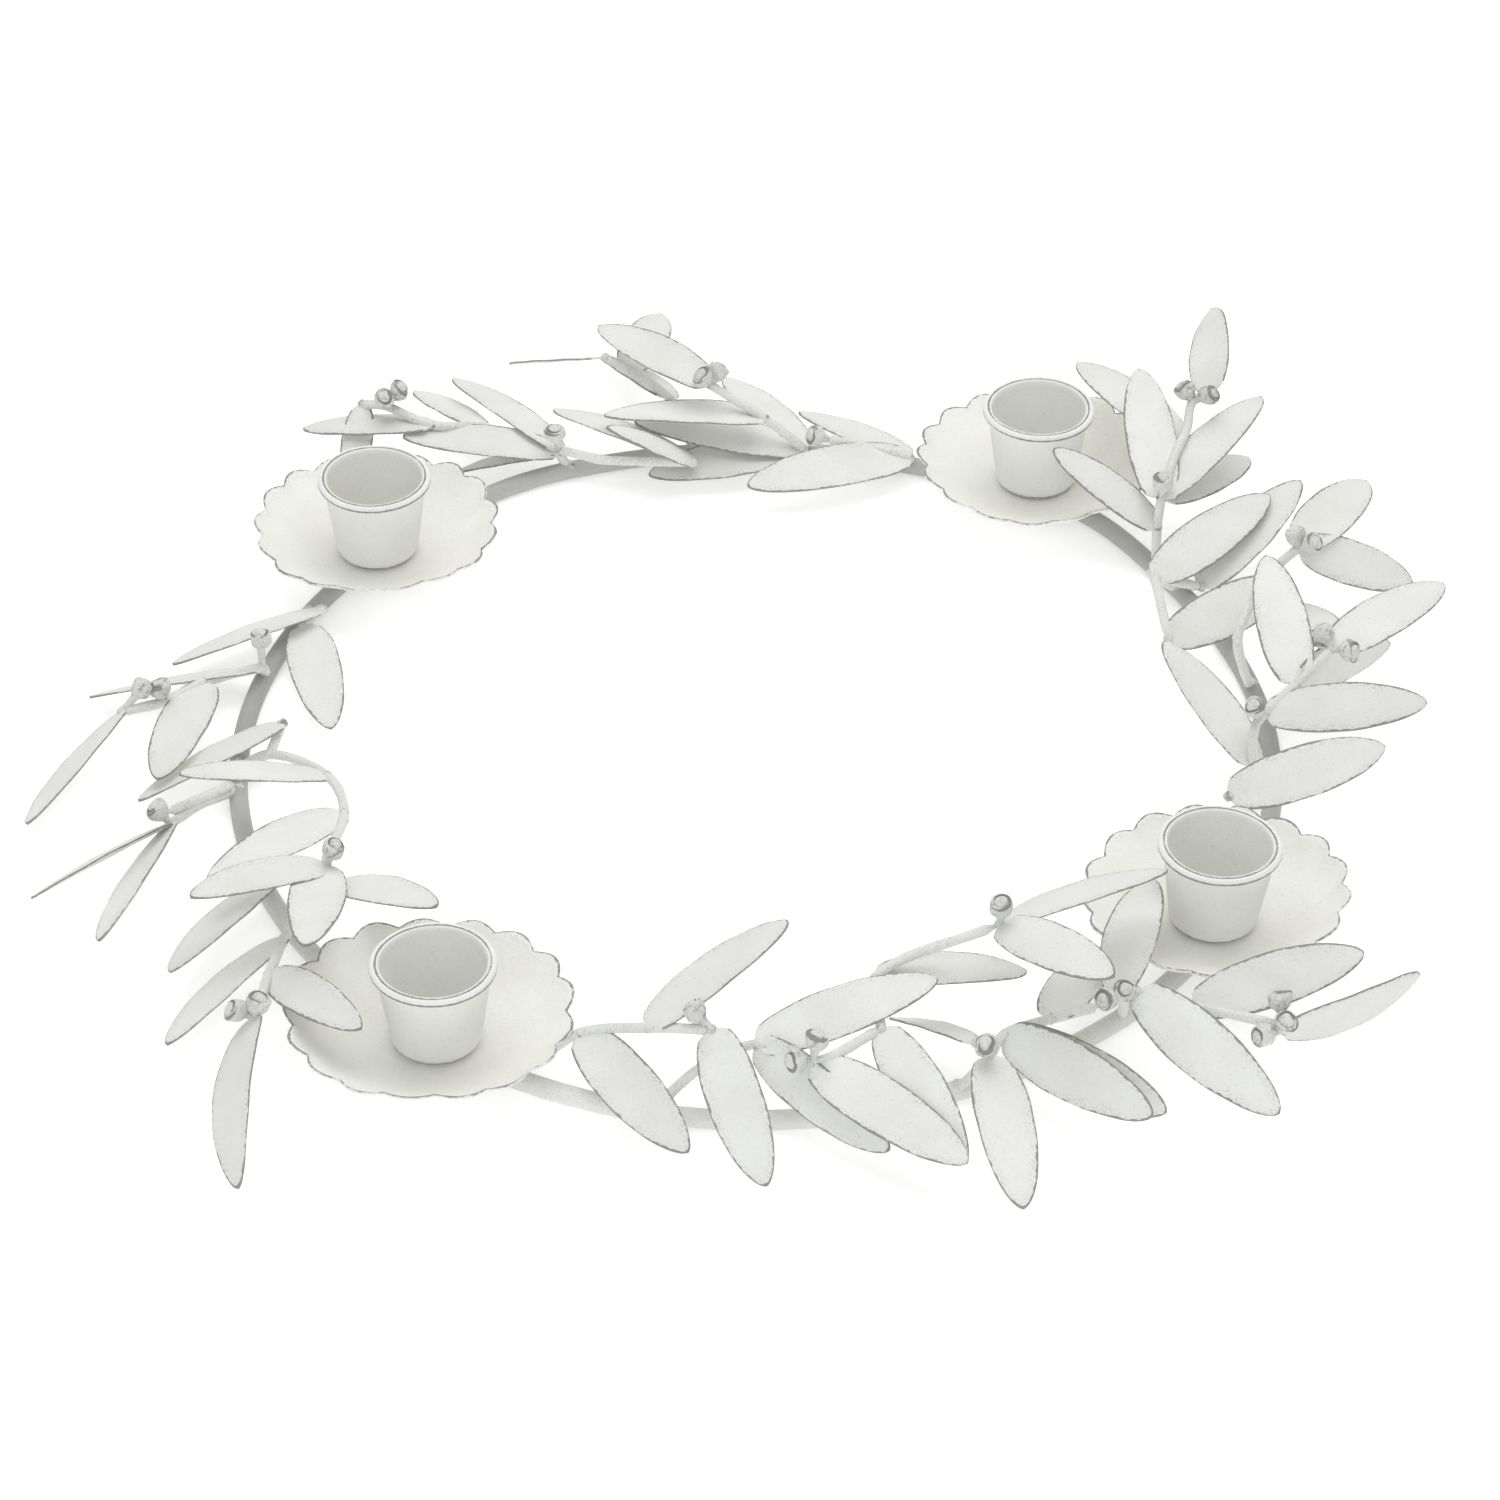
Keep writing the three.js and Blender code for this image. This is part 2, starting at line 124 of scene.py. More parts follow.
def skin(rows, rub=None, tone=0.5, looped=False):
    """Faces between neighbouring rows of a grid, with an end face on the first and last.

    rows is (rows, points in a row, 3). rub says for each point how worn the paint is,
    and tone how bright this part is within its piece, both from 0 to 1."""
    count, around = rows.shape[:2]
    row, column = np.meshgrid(np.arange(count - 1), np.arange(around), indexing="ij")
    following = (column + 1) % around
    corners = [row * around + column, row * around + following]
    corners += [(row + 1) * around + following, (row + 1) * around + column]
    blocks = [np.stack(corners, axis=-1).reshape(-1, 4)]
    if looped:
        first, last = np.arange(around), (count - 1) * around + np.arange(around)
        blocks.append(np.stack([last, np.roll(last, -1), np.roll(first, -1), first], axis=-1))
    else:
        blocks.append(np.arange(around)[::-1][None, :])
        blocks.append((count - 1) * around + np.arange(around)[None, :])
    worn = np.zeros(rows.shape[:2]) if rub is None else np.broadcast_to(rub, rows.shape[:2])
    bright = np.broadcast_to(tone, rows.shape[:2])
    return rows.reshape(-1, 3), blocks, worn.ravel(), bright.ravel()


def signed_volume(points, blocks):
    """Sum over all triangles of a . (b x c) / 6, which is positive if faces look out."""
    total = 0.0
    for block in blocks:
        first = points[block[:, 0]]
        for corner in range(1, block.shape[1] - 1):
            second, third = points[block[:, corner]], points[block[:, corner + 1]]
            total += np.einsum("ij,ij->", first, np.cross(second, third)) / 6.0
    return total


# %% [markdown]
# Each piece of the wreath is one object made of one or more skins. Two numbers travel
# with every point: `rub` and `tone`. They are stored as attributes of the mesh, so that
# the paint can follow a leaf's edge wherever the leaf points. The object itself stays at
# the origin, unturned, with its place in its mesh.


# %% Skins become an object
def add_piece(name, skins, paint, node):
    """Joins the skins to one mesh, which rides on the body root and replaces a node."""
    points, blocks, rub, tone, start = [], [], [], [], 0
    for skin_points, skin_blocks, skin_rub, skin_tone in skins:
        points.append(skin_points)
        rub.append(skin_rub)
        tone.append(skin_tone)
        blocks += [block + start for block in skin_blocks]
        start += len(skin_points)
    points = np.concatenate(points)
    faces = [face for block in blocks for face in block.tolist()]
    mesh = bpy.data.meshes.new(name)
    mesh.from_pydata(in_scene(points).tolist(), [], faces)
    mesh.polygons.foreach_set("use_smooth", np.ones(len(mesh.polygons), bool))
    for label, values in (("rub", np.concatenate(rub)), ("tone", np.concatenate(tone))):
        attribute = mesh.attributes.new(label, "FLOAT", "POINT")
        attribute.data.foreach_set("value", values.astype(np.float32))
    mesh.materials.append(paint)
    piece = bpy.data.objects.new(name, mesh)
    bpy.context.collection.objects.link(piece)
    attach(piece, "root")
    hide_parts(node)
    volume = sum(signed_volume(part[0], part[1]) for part in skins) / 1000.0
    print(f"{name}: {len(points)} points, {volume:.2f} cm3 of metal")


# %% [markdown]
# The paint is a matt, slightly warm white. Close up it shows three things: soft clouds
# where it was dabbed on thicker, a fine grain of darker specks, and grey-brown metal
# where it is rubbed off. The wear sits on edges, where hands and cloths touch first, so
# it is driven by the `rub` attribute. A noise breaks it up, because a line of even width
# would look drawn. Everything reads Object coordinates, so nothing slides if the
# camera moves.


# %% Helpers for the paint's nodes
def spots(material, per_metre, detail=3.0):
    """A noise from 0 to 1 on Object coordinates with so many lumps to the metre."""
    nodes, links = material.node_tree.nodes, material.node_tree.links
    place = nodes.new("ShaderNodeTexCoord")
    noise = nodes.new("ShaderNodeTexNoise")
    noise.inputs["Scale"].default_value = per_metre
    noise.inputs["Detail"].default_value = detail
    links.new(place.outputs["Object"], noise.inputs["Vector"])
    return noise.outputs["Fac"]


def stretched(material, value, low, high, new_low=0.0, new_high=1.0):
    """Values from low to high become new_low to new_high, and stay there outside."""
    node = material.node_tree.nodes.new("ShaderNodeMapRange")
    ends = {"From Min": low, "From Max": high, "To Min": new_low, "To Max": new_high}
    for label, number in ends.items():
        node.inputs[label].default_value = number
    material.node_tree.links.new(value, node.inputs["Value"])
    return node.outputs["Result"]


def combined(material, operation, first, second):
    """Two numbers or sockets put together by a sum, a product or the greater of them."""
    node = material.node_tree.nodes.new("ShaderNodeMath")
    node.operation = operation
    for socket, value in zip(node.inputs, (first, second)):
        if isinstance(value, (int, float)):
            socket.default_value = value
        else:
            material.node_tree.links.new(value, socket)
    return node.outputs["Value"]


def blended(material, share, first, second):
    """A colour that goes from the first to the second as share goes from 0 to 1."""
    node = material.node_tree.nodes.new("ShaderNodeMix")
    node.data_type = "RGBA"
    colours = [socket for socket in node.inputs if socket.type == "RGBA"]
    material.node_tree.links.new(share, node.inputs["Factor"])
    for socket, value in zip(colours, (first, second)):
        if isinstance(value, tuple):
            socket.default_value = (*value, 1.0)
        else:
            material.node_tree.links.new(value, socket)
    return next(socket for socket in node.outputs if socket.type == "RGBA")


def attribute_of(material, label):
    """The number that the mesh stores for each point under this name."""
    node = material.node_tree.nodes.new("ShaderNodeAttribute")
    node.attribute_name = label
    return node.outputs["Fac"]


# %% [markdown]
# The recipe goes from the bottom up, as a painter works. Two whites alternate in soft
# clouds, a grey comes in where the tone is low, and fine brown specks lie over both. On
# the ring that grey is painted shade; elsewhere it is a grey coat showing through. Last
# comes bare steel: a line where the rub is greatest, broken into lengths and ragged at
# its border, and small spots beside it. Noises of different sizes do all of it. Their
# sizes are given as lumps to the metre, so 1500 means specks of under 1 mm.

# %% The worn paint
LUMPS_PER_METRE = dict(
    clouds=55.0, specks=1500.0, line_lengths=48.0, line_border=650.0, worn_patches=150.0,
    worn_spots=1700.0, gloss=260.0, brush_marks=180.0, grit=900.0,
)
SPECK_BROWN = (0.44, 0.425, 0.37)
STEEL_UNDER_PAINT = (0.185, 0.175, 0.155)
LINE_STRENGTH = 0.82
LINE_SOFTNESS = 0.04
PAINT_RELIEF = 0.00035


def worn_paint(name, bright, dull, line=0.90, flecked=0.30, greying=0.16, grey=0.46):
    """Chalky paint over steel: clouds between two whites, specks, and rubbed edges.

    line is the rub above which the metal shows as a thin line, in stretches, and flecked
    how strong the small worn spots beside it are. greying is how much of this grey is
    mixed in where the tone is 0; on the ring that grey is painted shade."""
    lumps = LUMPS_PER_METRE
    material = bpy.data.materials.new(name)
    material.use_nodes = True
    shader = material.node_tree.nodes["Principled BSDF"]
    links = material.node_tree.links
    clouds = stretched(material, spots(material, lumps["clouds"]), 0.36, 0.66)
    colour = blended(material, clouds, bright, dull)
    tone = stretched(material, attribute_of(material, "tone"), 0.0, 1.0, greying, 0.0)
    colour = blended(material, tone, colour, (grey, 1.01 * grey, 0.97 * grey))
    specks = stretched(material, spots(material, lumps["specks"], 2.0), 0.60, 0.76, 0.0, 0.30)
    colour = blended(material, specks, colour, SPECK_BROWN)
    rub = attribute_of(material, "rub")
    lengths = stretched(material, spots(material, lumps["line_lengths"], 2.0), 0.34, 0.56, -0.07, 0.04)
    border = stretched(material, spots(material, lumps["line_border"], 2.0), 0.35, 0.65, -0.06, 0.06)
    broken = combined(material, "ADD", combined(material, "ADD", rub, lengths), border)
    solid = stretched(material, broken, line - LINE_SOFTNESS, line + LINE_SOFTNESS)
    patches = stretched(material, spots(material, lumps["worn_patches"]), 0.3, 0.7, -0.30, 0.30)
    small = stretched(material, spots(material, lumps["worn_spots"], 2.0), 0.48, 0.66)
    beside = stretched(material, combined(material, "ADD", rub, patches), 0.15, 1.05, 0.0, flecked)
    flecks = combined(material, "MULTIPLY", small, beside)
    wear = combined(material, "MAXIMUM", combined(material, "MULTIPLY", solid, LINE_STRENGTH), flecks)
    links.new(blended(material, wear, colour, STEEL_UNDER_PAINT), shader.inputs["Base Color"])
    matt = stretched(material, spots(material, lumps["gloss"]), 0.3, 0.7, 0.55, 0.75)
    links.new(matt, shader.inputs["Roughness"])
    shader.inputs["Specular IOR Level"].default_value = 0.35
    bump = material.node_tree.nodes.new("ShaderNodeBump")
    bump.inputs["Strength"].default_value = 0.35
    bump.inputs["Distance"].default_value = PAINT_RELIEF
    brushed = combined(material, "MULTIPLY", spots(material, lumps["brush_marks"], 5.0), 1.6)
    height = combined(material, "ADD", brushed, spots(material, lumps["grit"], 2.0))
    links.new(height, bump.inputs["Height"])
    links.new(bump.outputs["Normal"], shader.inputs["Normal"])
    return material


# The ring's two whites and its grey are darker than the other paints': in part painted shade, for the rod
# lies low under the leaves.
ring_paint_and_shade = worn_paint("ring_paint_and_shade", (0.78, 0.78, 0.755), (0.70, 0.695, 0.66), greying=0.9, grey=0.30)
dish_paint = worn_paint("dish_paint", (0.90, 0.90, 0.87), (0.865, 0.86, 0.81))
cup_paint = worn_paint("cup_paint", (0.89, 0.892, 0.865), (0.855, 0.855, 0.81), line=0.78)
sprig_paint = worn_paint(
    "sprig_paint", (0.825, 0.83, 0.80), (0.775, 0.775, 0.735), line=0.86, flecked=0.38, greying=0.5,
)
print("paints:", ring_paint_and_shade.name, dish_paint.name, cup_paint.name, sprig_paint.name)

# %% [markdown]
# The ring is one rod bent to a slightly long circle, 280 by 292 mm. A torus primitive
# would be perfectly round and even. A small circle carried along an ellipse gives the
# same form, and its radius can swell and shrink by a few hundredths, as thickly painted
# rod does. The rod was bent by hand, so it stands out from the ellipse by up to 4.8 mm at
# the back right and by less at the front and the back left. The front is painted white,
# and the back and most of all the sides are painted grey: that grey is painted shade,
# where the rod lies low in the shade of the leaves.

# %% The ring
RING_HALF_X = 140.0
RING_BULGES = [(50, 4.8, 12), (-92, 2.0, 20), (118, 1.6, 10)]
RING_STEPS = 360


def ring_bulge(x, y):
    """How far the ring stands out in the direction of a point: a sum of bell curves in
    the direction's angle, greatest * exp(-((direction - middle) / spread) ** 2)."""
    direction = np.degrees(np.arctan2(y / RING_HALF_Y, x / RING_HALF_X))
    out = 0.0
    for middle, greatest, spread in RING_BULGES:
        out = out + greatest * np.exp(-(((direction - middle) / spread) ** 2))
    return out


def foot_on_ring(x, y, z):
    """A sprig's foot, moved straight outwards or inwards onto the ring's middle line."""
    scale = 1 / math.hypot(x / RING_HALF_X, y / RING_HALF_Y) + ring_bulge(x, y) / math.hypot(x, y)
    return (x * scale, y * scale, z)


def ring_rows(around=20):
    """A circle (out cos b, down sin b) carried along the ellipse (X cos a, Y sin a), then
    pushed out by the bulge, and never below the table."""
    a, b = once_round(RING_STEPS).T, once_round(around)
    swell = 1 + 0.012 * np.sin(9 * a + 1) + 0.01 * np.sin(23 * a) * np.cos(2 * b)
    reach = ROD_RADIUS * swell
    out = np.stack([np.cos(a) / RING_HALF_X, np.sin(a) / RING_HALF_Y], axis=-1)
    out = out / np.linalg.norm(out, axis=-1, keepdims=True)
    x = RING_HALF_X * np.cos(a) + out[..., 0] * reach * np.cos(b)
    y = RING_HALF_Y * np.sin(a) + out[..., 1] * reach * np.cos(b)
    z = ROD_RADIUS - reach * np.sin(b)
    scale = 1 + ring_bulge(x, y) / np.hypot(x, y)
    return np.stack([x * scale, y * scale, np.maximum(z, 0.0)], axis=-1)


way_round = once_round(RING_STEPS).T
ring_rub = 0.35 + 0.25 * np.sin(5 * way_round) * np.sin(13 * way_round + 2)
# The ring's tone is a painted shade: it greys the back and most of all the sides, where the rod lies low
# under the leaves, and leaves the front white.
back_or_front = np.where(way_round < np.pi, 0.3, -1.1)
ring_painted_shade = np.clip(0.05 + back_or_front * np.sin(way_round), 0, 1)
add_piece("ring_rod", [skin(ring_rows(), ring_rub, ring_painted_shade, looped=True)], ring_paint_and_shade, "ring")

# %% [markdown]
# A dish catches the wax. The four are alike but not the same: one is larger, and one is
# bent up on its right and leans a little. So each has a row with its place, its radius,
# how far its edge rises, how much higher it is on which side, and how far the cup stands
# off the middle. A copied object would make all four equal. A dish that leans touches the
# ring within its flat part, which is what LEANS_ON says.

# %% Dishes: their places and sizes
DISH_FLAT = 13.5
DISH_SHEET = 1.0
SEAT_GAP = 0.3
LEANS_ON = 0.7 * DISH_FLAT
DISHES = [
    dict(
        name="front_left", x=-82.0, y=-121.5, radius=36.5, rise=10.0,
        high_by=1.0, high_side=235, lean=0.0, cup_shift=1.5,
    ),
    dict(
        name="front_right", x=118.5, y=-74.5, radius=34.5, rise=9.5,
        high_by=3.0, high_side=0, lean=1.5, cup_shift=0.0,
    ),
    dict(
        name="back_right", x=81.5, y=125.5, radius=34.5, rise=8.5,
        high_by=0.0, high_side=0, lean=0.0, cup_shift=0.0,
    ),
    dict(
        name="back_left", x=-107.5, y=90.5, radius=34.5, rise=9.5,
        high_by=0.0, high_side=0, lean=0.0, cup_shift=0.0,
    ),
]


def seated(points, dish):
    """Points of a dish or cup leant to the right about Y, and lifted onto the ring."""
    lean = math.radians(dish["lean"])
    lift = 2 * ROD_RADIUS + SEAT_GAP + LEANS_ON * math.sin(lean)
    x = points[..., 0] * math.cos(lean) + points[..., 2] * math.sin(lean)
    z = points[..., 2] * math.cos(lean) - points[..., 0] * math.sin(lean)
    return np.stack([x + dish["x"], points[..., 1] + dish["y"], z + lift], axis=-1)


# %% [markdown]
# A dish is a disc of thin sheet, flat where it lies on the ring and raised towards an
# edge of seventeen round lobes. Each lobe is one arch of a sine, so lobes are round and
# the notches between them are pointed. The height grows faster and faster on the way
# out, which is what a hammer does to sheet. The surface runs from the middle of the
# underside outwards, over the edge and back on top, so the dish is one closed skin with
# a real thickness. The paint is rubbed within a few millimetres of the upper edge.

# %% Dishes: the sheet
DISH_CURVE = 1.45
DISH_LOBES = 17
NOTCH_DEPTH = 2.2
LOBE_LIFT = 0.9
EDGE_ROUND = 0.45
EDGE_REACH = 3.2
EDGE_RUB = 0.98


def dish_profile(radius, rise, steps=26):
    """Radius and height from under the middle to the edge, round it, and back on top.

    The height grows with the power DISH_CURVE of the share of the way from the flat
    middle to the edge. The edge is half an ellipse."""
    out = np.linspace(0.15, radius, steps)
    share = np.clip((out - DISH_FLAT) / (radius - DISH_FLAT), 0, 1)
    height = rise * share**DISH_CURVE
    over = np.linspace(-np.pi / 2, np.pi / 2, 7)[1:-1]
    edge_out = radius + EDGE_ROUND * np.cos(over)
    edge_up = rise + DISH_SHEET / 2 + DISH_SHEET / 2 * np.sin(over)
    profile_out = np.concatenate([out, edge_out, out[::-1]])
    profile_up = np.concatenate([height, edge_up, height[::-1] + DISH_SHEET])
    return profile_out, profile_up


def dish_skin(dish, number, around=DISH_LOBES * 14):
    """The profile turned round. Towards the edge, with the square of the way there, it is
    pulled in at the notches, lifted at the lobes, and bent up and down by slow waves of
    3 and 7 to the turn. Small dents lie outside the flat middle."""
    out, up = dish_profile(dish["radius"], dish["rise"])
    a = once_round(around)
    out, up = out[:, None], up[:, None]
    reach = np.clip((out - DISH_FLAT) / (dish["radius"] - DISH_FLAT), 0, 1.1) ** 2
    lobe = np.abs(np.sin(DISH_LOBES * a / 2))
    shrink = 1 - NOTCH_DEPTH / dish["radius"] * reach * (1 - lobe)
    wave = 0.7 * np.sin(3 * a + 2 * number) + 0.25 * np.sin(7 * a + 5 * number)
    tilt = dish["high_by"] * np.cos(a - math.radians(dish["high_side"]))
    dents = 0.18 * np.sin(out / 3.1 + 2 * np.cos(a + number)) * np.sin(5 * a + number)
    lift = reach * (LOBE_LIFT * lobe + wave + tilt) + dents * np.clip(out / 20 - 0.6, 0, 1)
    points = np.stack([out * shrink * np.cos(a), out * shrink * np.sin(a), up + lift], axis=-1)
    top_edge = np.hypot(out - dish["radius"], up - dish["rise"] - DISH_SHEET)
    rub = np.clip(1 - top_edge / EDGE_REACH, 0, EDGE_RUB) * np.ones_like(a)
    return skin(seated(points, dish), rub)


for number, dish in enumerate(DISHES):
    add_piece(f"wax_dish_{dish['name']}", [dish_skin(dish, number)], dish_paint, f"dish_{dish['name']}")

# %% [markdown]
# Cups, twigs and berries all need a smooth curve through a few measured points. Blender's
# own Bezier curves would need handles set by hand. A Catmull-Rom curve takes its
# directions from the neighbouring points, and the centripetal kind never loops back on
# itself where two points are close.


# %% A smooth curve through points
def smooth_path(joints, steps):
    """Centripetal Catmull-Rom curve. Between two joints it is a cubic in t whose end
    tangents follow from the neighbours, weighted with the root of their distances."""
    joints = np.asarray(joints, float)
    ends = [2 * joints[0] - joints[1], 2 * joints[-1] - joints[-2]]
    chain = np.concatenate([ends[:1], joints, ends[1:]])
    t = np.linspace(0, 1, steps, endpoint=False)[:, None]
    stretches = []
    for p0, p1, p2, p3 in zip(chain, chain[1:], chain[2:], chain[3:]):
        d0, d1, d2 = (math.sqrt(np.linalg.norm(gap)) for gap in (p1 - p0, p2 - p1, p3 - p2))
        v1 = ((p1 - p0) / d0 - (p2 - p0) / (d0 + d1) + (p2 - p1) / d1) * d1
        v2 = ((p2 - p1) / d1 - (p3 - p1) / (d1 + d2) + (p3 - p2) / d2) * d1
        square, cube = 3 * (p2 - p1) - 2 * v1 - v2, 2 * (p1 - p2) + v1 + v2
        stretches.append(p1 + v1 * t + square * t**2 + cube * t**3)
    return np.concatenate([*stretches, joints[-1:]])


# %% [markdown]
# The cups are spun beakers: a flat foot, a wall that widens upwards, and a rolled rim
# that stands out all round. A turned shape needs only its profile. Here it runs from the
# middle of the foot up the outside, over the rim and down the inside, so the wall has a
# real thickness. The smooth curve makes rim and foot round, not faceted. Wear runs in
# thin rings where a beaker touches other things.

# %% Candle cups
CUP_PROFILE = [
    (0.2, 0.0), (9.2, 0.0), (10.6, 0.4), (11.5, 1.7), (11.9, 3.8), (13.2, 13.0), (14.4, 21.6),
    (14.75, 22.6), (15.5, 22.7), (15.95, 23.3), (16.0, 24.3), (15.5, 25.0), (14.9, 25.05),
    (14.4, 24.85), (14.0, 25.1), (13.6, 24.8), (13.3, 23.6), (13.2, 21.8), (12.1, 12.5),
    (10.7, 3.6), (10.0, 2.0), (8.7, 1.1), (0.2, 1.1),
]
CUP_HEIGHT = 25.0
WORN_LINES = [(16.0, 23.9), (14.5, 24.9), (11.2, 0.9)]
LINE_REACH = 1.1


def cup_skin(dish, number, around=72):
    """The profile turned round a middle line that is a little out of true. Paint is worn
    along three lines: the bead's edge, the groove inside it, and the foot."""
    profile = smooth_path([(radius, height, 0.0) for radius, height in CUP_PROFILE], 6)
    out, up = profile[:, :1], profile[:, 1:2]
    a = once_round(around)
    out_of_round = 1 + 0.006 * np.cos(2 * a + number) * up / CUP_HEIGHT
    wobble = 0.12 * np.sin(2 * a + 3 * number) * np.clip(up / CUP_HEIGHT, 0, 1)
    x, y = out * out_of_round * np.cos(a), out * out_of_round * np.sin(a)
    points = np.stack([x + dish["cup_shift"], y, up + wobble + DISH_SHEET + SEAT_GAP], axis=-1)
    nearest = np.min([np.hypot(out - radius, up - height) for radius, height in WORN_LINES], axis=0)
    return skin(seated(points, dish), np.clip(1 - nearest / LINE_REACH, 0, 1) * np.ones_like(a))


for number, dish in enumerate(DISHES):
    add_piece(f"candle_cup_{dish['name']}", [cup_skin(dish, number)], cup_paint, f"cup_{dish['name']}")
